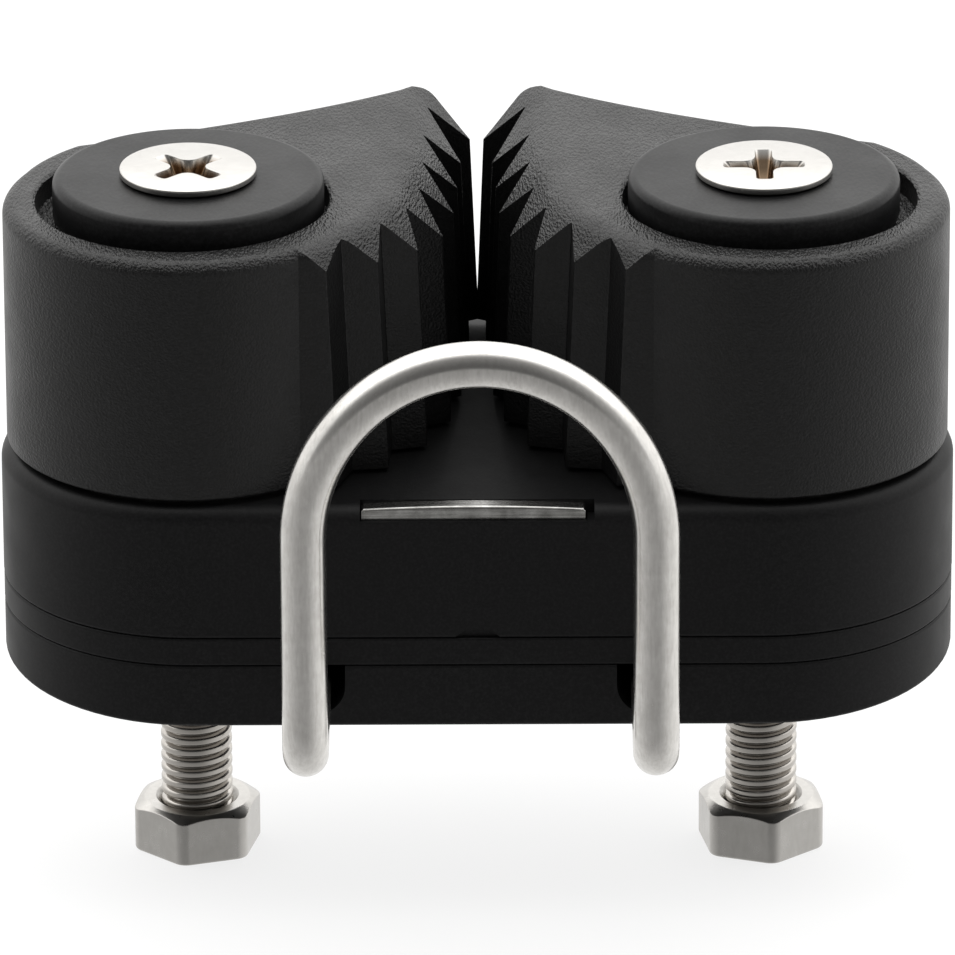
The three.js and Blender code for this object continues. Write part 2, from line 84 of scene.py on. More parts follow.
# ---- shapes of the pieces, in millimetres -------------------------------
TAPER = math.tan(math.radians(3.75))
END_R = -BASE_LO.y
END_X = BASE_HI.x - END_R
SCREW_HOLE_R = 2.7
BASE_EDGE_R = 1.2
CHANNEL_X = 7.7
TONGUE_Y = BASE_HI.y - CHANNEL_X
TONGUE_BOTTOM = 10.5
TONGUE_EDGE_R = 0.25
SCAR_R = 1.9
SCAR_DROP = 1.15
CORING_X = (-5.2, 0, 5.2)
CORING_Y = (-6.4, 6.4)
CORING_Z = (5, 10.5)
CORING_HALF = (1.9, 3.6)

CAM_R = 12.3
CAM_EDGE_R = 0.9
CAM_FOOT_R = 0.3
CAM_BORE_R = 6.08
TOOTH_LINE = ((18.46, 19.9), (16.4, 8.7), (20.2, -0.9), (9.2, -9.7))
TOOTH_PITCHES = 7
TOOTH_DEPTH = (2.6, 1.4)
TOOTH_ROOT_AT = 0.42
TOOTH_TIP_R = 0.13
NOSE_TIP_R = 0.02
TOOTH_DRAFT = 0.6
DRAFT_END = 16.5
CHAMFER_DROP = (3.55, 1.5)
CHAMFER_BLEND_R = 2.4
CHAMFER_SLOPE = 49
CHAMFER_REACH = 4.0
RECESS_R = 9.7
RECESS_DEPTH = 1.65
RECESS_SHIFT = 0.4
POCKET_R = 8.6
POCKET_TOP = 21.0

BUSH_R = (BUSH_HI.y - BUSH_LO.y) / 2
WASHER_R = (WASHER_HI.y - WASHER_LO.y) / 2
BUSH_BORE_R = 3.55
SLEEVE_BORE_R = 2.65
WASHER_BORE_R = 8.9
SPRING_R = 7.35
SPRING_WIRE_R = 0.45
SPRING_TURNS = 3.5
SPRING_Z = (16.0, 19.7)
SPRING_LEG_BEND = 0.9
SPRING_CORNER = 0.16
SPRING_SLOT_R = 0.7

SHANK_R = 2.4
THREAD_PITCH = 0.8
THREAD_DEPTH = 0.42
THREAD_TOP = 1.5
HEAD_R = 4.53
HEAD_SIDE = 0.42
UNDER_HEAD_Z = (28, 26)
RECESS_RIM = (3.2, 2.8)
NUT_AF = 7.8
NUT_TOP_R = 3.55
NUT_CORNER_R = 1.0
NUT_CHAMFER = 30
NUT_TURN = {-1: -12.7, 1: 10.9}
RECESS_TURN = {-1: 45.0, 1: 0.0}

WIRE_R = 1.5
WIRE_X = 11.4
WIRE_SHIFT = (WIRE_LO.x + WIRE_HI.x) / 2
WIRE_TAIL_Z = WIRE_LO.z + WIRE_R
WIRE_BEND = 3.0
ARCH_H = 12.2
HOOK_BEND = 1.8
HOOK_Y = -5.5
HOOK_X = 21.0
GROOVE_R = 2.0
GROOVE_OFFSET = 0.43
GROOVE_LIFT = 0.15

STRIP_BED = 13.85
STRIP_LIP_R = 0.2
STRIP_CROWN = 0.2
STRIP_BACK_BEVEL = 0.15
STRIP_END_BEVEL = 0.12
TAB_W = 0.9
TAB_Y = (-12.3, -11.5)


# ---- mesh helpers: bodies are made in millimetres and scaled at the end --
def new_body(verts, faces):
    mesh = bpy.data.meshes.new("body")
    mesh.from_pydata([tuple(v) for v in verts], [], faces)
    bm = bmesh.new()
    bm.from_mesh(mesh)
    bmesh.ops.recalc_face_normals(bm, faces=bm.faces)
    bm.to_mesh(mesh)
    bm.free()
    body = bpy.data.objects.new("body", mesh)
    bpy.context.scene.collection.objects.link(body)
    return body


def apply_modifiers(body):
    bpy.context.view_layer.update()
    depsgraph = bpy.context.evaluated_depsgraph_get()
    mesh = bpy.data.meshes.new_from_object(body.evaluated_get(depsgraph), depsgraph=depsgraph)
    body.modifiers.clear()
    body.data = mesh
    return body


def combine(body, other, operation):
    """Joins, cuts or intersects two bodies. The second one is used up."""
    step = body.modifiers.new("combine", "BOOLEAN")
    step.operation = operation
    step.solver = "MANIFOLD"
    step.object = other
    apply_modifiers(body)
    bpy.data.objects.remove(other)
    return body


def cut(body, *cutters):
    for cutter in cutters:
        combine(body, cutter, "DIFFERENCE")
    return body


def bevel(body, width, segments=2, angle=35.0):
    step = body.modifiers.new("edges", "BEVEL")
    step.width = width
    step.segments = segments
    step.limit_method = "ANGLE"
    step.angle_limit = math.radians(angle)
    step.miter_outer = "MITER_ARC"
    return apply_modifiers(body)


def rounded(points, radii, steps=4, closed=True):
    """An outline with its corners turned into arcs. Radius 0 keeps a corner."""
    pts = [Vector(p) for p in points]
    out = []
    for i, p in enumerate(pts):
        r = radii[i] if isinstance(radii, (list, tuple)) else radii
        if r == 0 or (not closed and i in (0, len(pts) - 1)):
            out.append(p)
            continue
        a, b = pts[i - 1] - p, pts[(i + 1) % len(pts)] - p
        reach = 0.48 * min(a.length, b.length)
        a.normalize()
        b.normalize()
        half = a.angle(b) / 2
        t = min(r / math.tan(half), reach)
        centre = p + (a + b).normalized() * (t / math.cos(half))
        u, v = p + a * t - centre, p + b * t - centre
        turn = u.angle(v)
        for k in range(steps + 1):
            s = k / steps
            out.append(centre + (u * math.sin((1 - s) * turn) + v * math.sin(s * turn)) / math.sin(turn))
    return out


def lathe(profile, seg=96, x=0.0, y=0.0):
    """Turns a profile of (radius, z) about a vertical axis. It closes on itself or ends on the axis."""
    verts, rows = [], []
    for r, z in profile:
        first = len(verts)
        if r < 1e-6:
            verts.append((x, y, z))
            rows.append([first] * seg)
            continue
        for i in range(seg):
            a = 2 * math.pi * i / seg
            verts.append((x + r * math.cos(a), y + r * math.sin(a), z))
        rows.append(list(range(first, first + seg)))
    pairs = list(zip(rows, rows[1:]))
    if profile[0][0] > 1e-6:
        pairs.append((rows[-1], rows[0]))
    faces = []
    for a, b in pairs:
        for i in range(seg):
            j = (i + 1) % seg
            corners = (a[i], a[j], b[j], b[i])
            faces.append(tuple(dict.fromkeys(corners)))
    return new_body(verts, faces)


def loft(rings):
    """A closed body through rings with the same number of points."""
    n = len(rings[0])
    verts = [p for ring in rings for p in ring]
    faces = []
    for k in range(len(rings) - 1):
        for i in range(n):
            a, b = k * n + i, k * n + (i + 1) % n
            faces.append((a, b, b + n, a + n))
    faces.append(tuple(range(n)))
    faces.append(tuple(range(len(verts) - n, len(verts))))
    return new_body(verts, faces)


def block(x0, x1, y0, y1, z0, z1):
    ring = [(x0, y0), (x1, y0), (x1, y1), (x0, y1)]
    return loft([[(x, y, z) for x, y in ring] for z in (z0, z1)])


def rod(r, z0, z1, x=0.0, y=0.0, seg=64):
    return lathe([(0, z0), (r, z0), (r, z1), (0, z1)], seg, x, y)


def sweep(path, r, sides=28, end_r=0.0):
    """A round bar along a list of points, with its ends rounded off by end_r."""
    pts = [Vector(p) for p in path]
    tangents = []
    for i in range(len(pts)):
        tangents.append((pts[min(i + 1, len(pts) - 1)] - pts[max(i - 1, 0)]).normalized())
    side = tangents[0].orthogonal().normalized()
    stations = []
    for i, (p, t) in enumerate(zip(pts, tangents)):
        if i:
            side = (tangents[i - 1].rotation_difference(t) @ side).normalized()
        stations.append((p, t, side.copy(), r))
    if end_r:
        (p0, t0, s0, _), (p1, t1, s1, _) = stations[0], stations[-1]
        for a in (30, 60, 90):
            inset = end_r * (1 - math.cos(math.radians(a)))
            out = end_r * math.sin(math.radians(a))
            stations.insert(0, (p0 - t0 * out, t0, s0, r - inset))
            stations.append((p1 + t1 * out, t1, s1, r - inset))
    rings = []
    for p, t, s, radius in stations:
        up = t.cross(s)
        angles = [2 * math.pi * k / sides for k in range(sides)]
        rings.append([p + (s * math.cos(a) + up * math.sin(a)) * radius for a in angles])
    return loft(rings)


def arc(cx, cy, r, a0, a1, n):
    """Points of an arc in a plane, angles in degrees."""
    out = []
    for i in range(n + 1):
        a = math.radians(a0 + (a1 - a0) * i / n)
        out.append((cx + r * math.cos(a), cy + r * math.sin(a)))
    return out


def bezier(points, n, spaced=True):
    """n + 1 points on a cubic curve, the same distance apart if spaced."""
    p = [Vector(q) for q in points]

    def at(t):
        s = 1 - t
        return p[0] * s**3 + p[1] * 3 * s * s * t + p[2] * 3 * s * t * t + p[3] * t**3

    fine = [at(i / 600) for i in range(601)]
    run = [0.0]
    for a, b in zip(fine, fine[1:]):
        run.append(run[-1] + (b - a).length)
    out, k = [], 0
    for i in range(n + 1):
        want = run[-1] * i / n
        while k < 599 and run[k + 1] < want:
            k += 1
        share = (want - run[k]) / max(run[k + 1] - run[k], 1e-12)
        out.append(fine[k].lerp(fine[k + 1], min(1.0, share)))
    return out


def mirrored(body):
    body.data.transform(Matrix.Diagonal((-1, 1, 1, 1)))
    body.data.flip_normals()
    return body


def moved(body, x):
    body.data.transform(Matrix.Translation((x, 0, 0)))
    return body


def copied(body):
    twin = body.copy()
    twin.data = body.data.copy()
    bpy.context.scene.collection.objects.link(twin)
    return twin


def finish_piece(body, node, on_body, material, sharp=32.0):
    """Scales a finished body to metres, names it, and lets it stand for its CAD node."""
    body.data.transform(Matrix.Scale(MM, 4))
    body.name = node + "_detailed"
    body.data.name = body.name
    body.data.materials.clear()
    body.data.materials.append(material)
    body.data.shade_smooth()
    body.data.set_sharp_from_angle(angle=math.radians(sharp))
    shade = body.modifiers.new("shade", "WEIGHTED_NORMAL")
    shade.keep_sharp = True
    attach(body, on_body)
    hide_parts(node)
    return body


# ---- materials ----------------------------------------------------------
def new_material(name):
    material = bpy.data.materials.new(name)
    material.use_nodes = True
    tree = material.node_tree
    return material, tree, tree.nodes["Principled BSDF"]


def noise(tree, scale, detail=2.0, roughness=0.5, vector=None):
    node = tree.nodes.new("ShaderNodeTexNoise")
    node.inputs["Scale"].default_value = scale
    node.inputs["Detail"].default_value = detail
    node.inputs["Roughness"].default_value = roughness
    tree.links.new(vector, node.inputs["Vector"])
    return node.outputs["Fac"]


def ramp(tree, source, stops):
    node = tree.nodes.new("ShaderNodeValToRGB")
    node.color_ramp.elements[0].position = stops[0][0]
    node.color_ramp.elements[1].position = stops[-1][0]
    for place, _ in stops[1:-1]:
        node.color_ramp.elements.new(place)
    for element, (_, colour) in zip(node.color_ramp.elements, stops):
        element.color = (*colour, 1)
    tree.links.new(source, node.inputs["Fac"])
    return node.outputs["Color"]


def remap(tree, source, source_range, target_range, smooth=False):
    node = tree.nodes.new("ShaderNodeMapRange")
    node.interpolation_type = "SMOOTHSTEP" if smooth else "LINEAR"
    for name, value in zip(("From Min", "From Max"), source_range):
        node.inputs[name].default_value = value
    for name, value in zip(("To Min", "To Max"), target_range):
        node.inputs[name].default_value = value
    tree.links.new(source, node.inputs["Value"])
    return node.outputs["Result"]


def spread(tree, source, low, high):
    """Maps a noise value to the range low to high."""
    return remap(tree, source, (0.3, 0.7), (low, high))


def arithmetic(tree, operation, a, b):
    node = tree.nodes.new("ShaderNodeMath")
    node.operation = operation
    for socket, value in zip(node.inputs, (a, b)):
        if isinstance(value, (int, float)):
            socket.default_value = value
        else:
            tree.links.new(value, socket)
    return node.outputs["Value"]


def bump(tree, source, distance, strength=1.0, before=None):
    node = tree.nodes.new("ShaderNodeBump")
    node.inputs["Distance"].default_value = distance
    node.inputs["Strength"].default_value = strength
    tree.links.new(source, node.inputs["Height"])
    if before is not None:
        tree.links.new(before, node.inputs["Normal"])
    return node.outputs["Normal"]


def stretched(tree, vector, scale):
    node = tree.nodes.new("ShaderNodeMapping")
    node.inputs["Scale"].default_value = scale
    tree.links.new(vector, node.inputs["Vector"])
    return node.outputs["Vector"]


def moulded(name, dark, light, grain, depth, rough, level=0.5):
    """Moulded plastic: a fine spark-eroded grain, a few paler specks, slow gloss changes."""
    material, tree, shader = new_material(name)
    coords = tree.nodes.new("ShaderNodeTexCoord").outputs["Object"]
    specks = noise(tree, grain, 3.0, 0.6, coords)
    tree.links.new(ramp(tree, specks, [(0.42, dark), (0.70, light)]), shader.inputs["Base Color"])
    clouds = noise(tree, 260.0, 3.0, 0.6, coords)
    tree.links.new(spread(tree, clouds, *rough), shader.inputs["Roughness"])
    waves = bump(tree, noise(tree, 420.0, 2.0, 0.5, coords), 5e-6)
    grains = stretched(tree, coords, (grain * 1.5, grain * 0.55, grain * 1.5))
    pits = bump(tree, noise(tree, 0.8, 1.0, 0.5, grains), depth, 1.0, waves)
    tree.links.new(faces_up(tree), pits.node.inputs["Strength"])
    tree.links.new(pits, shader.inputs["Normal"])
    shader.inputs["Specular IOR Level"].default_value = level
    return material


def faces_up(tree):
    """Full grain on tops, little of it on upright walls, which slide out of the mould."""
    axes = tree.nodes.new("ShaderNodeSeparateXYZ")
    tree.links.new(tree.nodes.new("ShaderNodeNewGeometry").outputs["Normal"], axes.inputs["Vector"])
    return remap(tree, axes.outputs["Z"], (0.15, 0.7), (0.3, 1.0))


def metal(name, dark, light, rough, streaks, depth, painted_shades=None):
    """Steel with drawing or turning marks; painted_shades are painted shade colours: a dark brown for the
    bottom of a screw's cross recess, with a warm painted reflection in it, and a darker tone for the shank
    below the head.
    """
    material, tree, shader = new_material(name)
    coords = tree.nodes.new("ShaderNodeTexCoord").outputs["Object"]
    lines = noise(tree, 1.0, 4.0, 0.6, stretched(tree, coords, streaks))
    blotch = noise(tree, 900.0, 4.0, 0.6, coords)
    both = arithmetic(tree, "MULTIPLY", arithmetic(tree, "ADD", lines, blotch), 0.5)
    colour = ramp(tree, both, [(0.36, dark), (0.64, light)])
    if painted_shades:
        # Painted shade: the shank is painted darker than the head, and the bottom of the cross recess dark
        # brown.
        colour = blended(tree, below_head(tree, coords), colour, painted_shades[1])
        colour = blended(tree, recess_depth(tree, coords), colour, painted_shades[0])
    tree.links.new(colour, shader.inputs["Base Color"])
    tree.links.new(spread(tree, both, rough[1], rough[0]), shader.inputs["Roughness"])
    tree.links.new(bump(tree, both, depth), shader.inputs["Normal"])
    shader.inputs["Metallic"].default_value = 1.0
    return material


def blended(tree, share, colour, other):
    node = tree.nodes.new("ShaderNodeMix")
    node.data_type = "RGBA"
    tree.links.new(share, node.inputs["Factor"])
    tree.links.new(colour, node.inputs[6])
    node.inputs[7].default_value = (*other, 1)
    return node.outputs[2]


def below_head(tree, coords):
    """0 on a screw's head, 1 on its shank."""
    axes = tree.nodes.new("ShaderNodeSeparateXYZ")
    tree.links.new(coords, axes.inputs["Vector"])
    return remap(tree, axes.outputs["Z"], (UNDER_HEAD_Z[0] * MM, UNDER_HEAD_Z[1] * MM), (0, 1))


def recess_depth(tree, coords):
    """0 on the outside of a screw, rising to 1 in the bottom of its cross recess."""
    axes = tree.nodes.new("ShaderNodeSeparateXYZ")
    tree.links.new(coords, axes.inputs["Vector"])
    along = arithmetic(tree, "SUBTRACT", arithmetic(tree, "ABSOLUTE", axes.outputs["X"], 0), PIVOT_X * MM)
    radius = arithmetic(tree, "ADD", arithmetic(tree, "POWER", arithmetic(tree, "ABSOLUTE", along, 0), 2),
                        arithmetic(tree, "POWER", arithmetic(tree, "ABSOLUTE", axes.outputs["Y"], 0), 2))
    inside = remap(tree, radius, ((RECESS_RIM[0] * MM) ** 2, (RECESS_RIM[1] * MM) ** 2), (0, 1))
    top = SCREW_HI.z * MM
    deep = remap(tree, axes.outputs["Z"], (top - 0.08 * MM, top - 0.6 * MM), (0, 1))
    head = remap(tree, axes.outputs["Z"], (top - 4 * MM, top - 3 * MM), (0, 1))
    return arithmetic(tree, "MULTIPLY", arithmetic(tree, "MULTIPLY", inside, deep), head)


def materials():
    black, grey = (0.0042, 0.0042, 0.0044), (0.0085, 0.0085, 0.0088)
    steel = (0.52, 0.515, 0.505), (0.70, 0.69, 0.675)
    return {
        "riser_nylon": moulded("riser_nylon", black, grey, 5200, 5e-6, (0.42, 0.50), 0.14),
        "spacer_nylon": moulded("spacer_nylon", black, grey, 5200, 4e-6, (0.40, 0.48), 0.14),
        "base_nylon": moulded("base_nylon", black, grey, 5200, 6e-6, (0.42, 0.50), 0.14),
        "cam_nylon": moulded("cam_nylon", (0.002,) * 3, (0.007, 0.007, 0.0073), 5600, 1.8e-4,
                             (0.36, 0.46), 0.34),
        "cap_nylon": moulded("cap_nylon", black, (0.012, 0.012, 0.0125), 4200, 1.4e-5, (0.34, 0.42), 0.18),
        "acetal": moulded("acetal", (0.74, 0.72, 0.66), (0.84, 0.82, 0.77), 3000, 3e-6, (0.3, 0.4)),
        "wear_strip_steel": metal("wear_strip_steel", (0.20, 0.197, 0.188), (0.52, 0.515, 0.50), (0.2, 0.3),
                                  (250, 9000, 9000), 6e-6),
        "wire_steel": metal("wire_steel", (0.60, 0.585, 0.56), (0.72, 0.705, 0.68), (0.2, 0.28),
                            (5200, 5200, 900), 6e-6),
        # fastener_steel carries painted shade: its last two colours paint the recess bottom dark brown and
        # the shank darker than the head.
        "fastener_steel": metal("fastener_steel", (0.52, 0.507, 0.485), (0.57, 0.557, 0.535), (0.18, 0.26),
                                (1600, 1600, 700), 8e-7, ((0.20, 0.14, 0.09), (0.46, 0.437, 0.408))),
        # The nuts get a darker copy of the screw steel: painted shade for their place low under the cleat.
        "shaded_nut_steel": metal("shaded_nut_steel", (0.43, 0.418, 0.398), (0.48, 0.468, 0.448), (0.26, 0.31),
                           (2600, 2600, 900), 8e-7),
        "sleeve_steel": metal("sleeve_steel", *steel, (0.2, 0.3), (900, 900, 9000), 2e-6),
        "spring_steel": metal("spring_steel", (0.42, 0.42, 0.42), (0.56, 0.56, 0.56), (0.25, 0.36),
                              (3000, 3000, 3000), 2e-6),
    }


# ---- moulded stack: riser, spacer, base ---------------------------------
def stadium(r, height, n=40):
    """The long outline with round ends; height gives z at each y."""
    ring = []
    for side, start in ((1, -90), (-1, 90)):
        for x, y in arc(side * END_X, 0, r, start, start + 180, n):
            ring.append((x, y, height(y)))
    return ring


def slab(r, low, high, edge_low, edge_high, steps=4):
    """A stadium body between two heights, with rounded lower and upper edges."""
    rings = []
    for i in range(steps + 1):
        a = math.radians(90 * i / steps)
        inset, rise = edge_low * (1 - math.sin(a)), edge_low * (1 - math.cos(a))
        rings.append(stadium(r - inset, lambda y, rise=rise: low(y) + rise))
    for i in range(steps + 1):
        a = math.radians(90 * i / steps)
        inset, rise = edge_high * (1 - math.cos(a)), edge_high * (1 - math.sin(a))
        rings.append(stadium(r - inset, lambda y, rise=rise: high - rise))
    return loft(rings)


def drill_screw_holes(body, low, high):
    for side in SIDES:
        cut(body, rod(SCREW_HOLE_R, low, high, side * PIVOT_X))
    return body


def groove_cutters(side):
    """One wire tail's channel, round below and open above: in from the front, then outwards."""
    z, high = WIRE_TAIL_Z + GROOVE_LIFT, 6.0
    x = WIRE_SHIFT + side * (WIRE_X - GROOVE_OFFSET)
    section = [(-GROOVE_R, high), *arc(0, z, GROOVE_R, 180, 360, 20), (GROOVE_R, high)]
    inwards = loft([[(x + u, y, w) for u, w in section] for y in (-20.0, HOOK_Y)])
    outwards = loft([[(q, HOOK_Y + u, w) for u, w in section] for q in (x, side * (HOOK_X + 1))])
    corner = lathe([(0, z - GROOVE_R), *arc(0, z, GROOVE_R, -90, 0, 10)[1:], (GROOVE_R, high), (0, high)],
                   80, x, HOOK_Y)
    return inwards, outwards, corner


def riser_pad():
    r = (PAD_HI.y - PAD_LO.y) / 2
    body = slab(r, lambda y: TAPER * y, PAD_HI.z, 0.35, 0.22)
    for side in SIDES:
        cut(body, *groove_cutters(side))
    drill_screw_holes(body, -3, 6)
    return bevel(body, 0.12, 2, 50)


def spacer_plate():
    r = (PLATE_HI.y - PLATE_LO.y) / 2
    body = slab(r, lambda y: PLATE_LO.z, PLATE_HI.z, 0.2, 0.2)
    return drill_screw_holes(body, 2, 7)


def shade_tongue():
    """Half-round dark nylon tongue behind the base, under the cams' noses: a dark piece that stands for the
    shade in the gap under them.
    """
    edge = arc(CHANNEL_X - TONGUE_EDGE_R, BASE_HI.z - TONGUE_EDGE_R, TONGUE_EDGE_R, 0, 90, 6)
    profile = [(0, TONGUE_BOTTOM), (CHANNEL_X - 0.2, TONGUE_BOTTOM), (CHANNEL_X, TONGUE_BOTTOM + 0.2)]
    return lathe(profile + edge + [(0, BASE_HI.z)], 160, 0, TONGUE_Y)


def gate_scar():
    """Shallow round mark low on the front."""
    mark = lathe([(0, 0), (SCAR_R, 0), (SCAR_R, 1), (0, 1)], 64)
    mark.data.transform(Matrix.Rotation(math.radians(90), 4, "X"))
    mark.data.transform(Matrix.Translation((0, BASE_LO.y + 0.3, BASE_LO.z - SCAR_DROP)))
    return mark


def base():
    body = slab(END_R, lambda y: BASE_LO.z, BASE_HI.z, 0.25, BASE_EDGE_R, 7)
    # A dark nylon tongue fills the gap under the noses, standing for the shade there.
    combine(body, shade_tongue(), "UNION")
    drill_screw_holes(body, 4, 16)
    for side in SIDES:
        x = side * PIVOT_X
        cut(body, rod(BUSH_R + 0.05, BUSH_LO.z, 16, x, 0, 96))
        outer = WASHER_R + 0.1
        ring = [(WASHER_BORE_R - 0.1, WASHER_LO.z - 0.02), (outer, WASHER_LO.z - 0.02), (outer, 16),
                (WASHER_BORE_R - 0.1, 16)]
        cut(body, lathe(ring, 96, x))
        a = spring_angle(side, 0)
        foot_x, foot_y = x + SPRING_R * math.cos(a), SPRING_R * math.sin(a)
        leg = rod(SPRING_SLOT_R, SPRING_LO.z - 0.3, 16, foot_x, foot_y, 24)
        cut(body, leg)
    cut(body, block(-CHANNEL_X, CHANNEL_X, -14, STRIP_HI.y + 0.1, STRIP_BED - 0.02, 17))
    for x in (STRIP_LO.x, STRIP_HI.x - TAB_W):
        cut(body, block(x - 0.1, x + TAB_W + 0.1, TAB_Y[0] - 0.1, TAB_Y[1] + 0.1, STRIP_LO.z - 0.2, 15))
    half_x, half_y = CORING_HALF
    for x in CORING_X:
        for y in CORING_Y:
            cut(body, block(x - half_x, x + half_x, y - half_y, y + half_y, *CORING_Z))
    cut(body, gate_scar())
    return bevel(body, 0.1, 2, 50)


def wear_strip():
    """A crowned strip with a rolled front lip, softened ends and two tabs down into the base."""
    front, back, top = STRIP_LO.y, STRIP_HI.y, STRIP_HI.z
    section = [(front, STRIP_BED), (back, STRIP_BED)]
    section += [(back, top - STRIP_BACK_BEVEL), (back - STRIP_BACK_BEVEL, top)]
    section += arc(front + STRIP_LIP_R, top - STRIP_LIP_R, STRIP_LIP_R, 90, 180, 10)
    middle, half, soft = (STRIP_LO.x + STRIP_HI.x) / 2, (STRIP_HI.x - STRIP_LO.x) / 2, STRIP_END_BEVEL
    shares = [-1 + k / 12 for k in range(25)]
    stations = [(-half, soft)] + [(u * (half - soft), 0) for u in shares] + [(half, soft)]
    rings = []
    for x, inset in stations:
        keep = 1 - STRIP_CROWN * (x / half) ** 2 - inset / (top - STRIP_BED)
        rings.append([(middle + x, y, STRIP_BED + (z - STRIP_BED) * keep) for y, z in section])
    body = loft(rings)
    for x in (STRIP_LO.x, STRIP_HI.x - TAB_W):
        combine(body, block(x, x + TAB_W, *TAB_Y, STRIP_LO.z, STRIP_BED + 0.2), "UNION")
    return body


# ---- cams ---------------------------------------------------------------
def tooth_corners():
    """Tips and roots along the gripping side, from the nose to the heel, about the pivot."""
    tips = bezier(TOOTH_LINE, TOOTH_PITCHES)
    corners = []
    for i, (p, q) in enumerate(zip(tips, tips[1:])):
        along = (q - p).normalized()
        share = i / (TOOTH_PITCHES - 1)
        depth = TOOTH_DEPTH[0] * (1 - share) + TOOTH_DEPTH[1] * share
        corners += [p, p.lerp(q, TOOTH_ROOT_AT) + Vector((along.y, -along.x)) * depth]
    return corners + [tips[-1]]


def cam_outline():
    """(point, inward direction, share of the edge rounding, share of the draft) once round the cam."""
    teeth = tooth_corners()
    corners = [(15.3, 20.95), *teeth, (8.6, -9.75)]
    radii = [0, NOSE_TIP_R] + [TOOTH_TIP_R] * (len(corners) - 2)
    line = rounded(corners, radii, 3, closed=False)[1:-1]
    out = [(p, Vector((-1, 0)), 0.0, 1.0) for p in line]
    out.append((Vector((8.6, -9.75)), Vector((-0.7, 0.7)), 0.3, 0.6))
    for k in range(100):
        degrees = -53 - 179 * k / 99
        a = math.radians(degrees)
        u = Vector((math.cos(a), math.sin(a)))
        rise = max(0.0, -degrees - 205) * 0.018
        out.append((u * (CAM_R + rise), -u, 1.0, 0.0))
    back = bezier((out[-1][0], (0.5, 13.2), (8, 16.3), (14.4, 21.0)), 24)
    for i, p in enumerate(back[1:]):
        out.append((p, Vector((0.45, -0.89)), 1.0 - 0.25 * (i == 23), 0.0))
    out.append((Vector((15.3, 20.95)), Vector((0, -1)), 0.8, 0.0))
    return out


def cam_ring(outline, z, inset, draft):
    ring = []
    for p, inward, edge, grow in outline:
        q = p + inward * inset * edge
        ring.append((q.x + draft * grow, q.y, z))
    return ring


def chamfer_cutter():
    """Takes the slope off the top of the teeth and blends it into the flat top."""
    line = bezier(TOOTH_LINE, 72)
    ahead = (line[0] - line[1]).normalized()
    behind = (line[-1] - line[-2]).normalized()
    stations = [(line[0] + ahead * 3, 0.0)] + [(p, i / 72) for i, p in enumerate(line)]
    stations.append((line[-1] + behind * 5, 1.35))
    rings = []
    for k, (p, share) in enumerate(stations):
        a, b = stations[max(0, k - 1)][0], stations[min(len(stations) - 1, k + 1)][0]
        t = (b - a).normalized()
        out = Vector((-t.y, t.x))
        s = max(0.0, (share - 0.55) / 0.45)
        drop = CHAMFER_DROP[0] * (1 - s) + CHAMFER_DROP[1] * s
        rings.append([(p.x + out.x * u, p.y + out.y * u, z) for u, z in chamfer_section(drop)])
    return loft(rings)


def chamfer_section(drop):
    """(distance out from the tooth tips, height) round the cut's section."""
    slope, top, r = math.radians(CHAMFER_SLOPE), CAM_HI.z, CHAMFER_BLEND_R
    foot = (r * (1 - math.cos(slope)) - drop) / math.tan(slope)
    low = top - drop - CHAMFER_REACH * math.tan(slope)
    section = [(CHAMFER_REACH, top + 1.5), (CHAMFER_REACH, low)]
    for k in range(10, 0, -1):
        a = slope * k / 10
        section.append((foot - r * (math.sin(slope) - math.sin(a)), top - r * (1 - math.cos(a))))
    u, z = section[-1]
    section += [(u - 0.6, z + 0.6 * math.tan(slope / 10)), (u - 0.6, top + 1.5)]
    return section


def cam_body():
    """The left cam about its own pivot."""
    outline = cam_outline()
    z0, z1 = CAM_LO.z, CAM_HI.z
    rings = []
    for i in range(4):
        a = math.radians(30 * i)
        rise, inset = CAM_FOOT_R * (1 - math.cos(a)), CAM_FOOT_R * (1 - math.sin(a))
        rings.append(cam_ring(outline, z0 + rise, inset, TOOTH_DRAFT))
    rings.append(cam_ring(outline, DRAFT_END, 0, TOOTH_DRAFT))
    for i in range(8):
        a = math.radians(90 * i / 7)
        drop, inset = CAM_EDGE_R * (1 - math.sin(a)), CAM_EDGE_R * (1 - math.cos(a))
        rings.append(cam_ring(outline, z1 - drop, inset, 0))
    body = loft(rings)
    cut(body, chamfer_cutter())
    floor = z1 - RECESS_DEPTH
    wall = [(0, floor), (RECESS_R, floor), (RECESS_R, z1 - 0.35)]
    wall = rounded(wall, [0, 0.25, 0], 3, closed=False)
    wall += [Vector((RECESS_R + 0.05, z1 - 0.16)), Vector((RECESS_R + 0.2, z1 - 0.03))]
    wall += [Vector((RECESS_R + 0.8, z1 + 0.1)), Vector((RECESS_R + 0.8, z1 + 2)), Vector((0, z1 + 2))]
    cut(body, lathe([(p[0], p[1]) for p in wall], 128, -RECESS_SHIFT))
    cut(body, rod(CAM_BORE_R, 10, 36, 0, 0, 96), rod(POCKET_R, 10, POCKET_TOP, 0, 0, 96))
    a = spring_angle(-1, 1)
    cut(body, rod(SPRING_SLOT_R, 18, SPRING_HI.z + 0.3, SPRING_R * math.cos(a), SPRING_R * math.sin(a), 24))
    return body


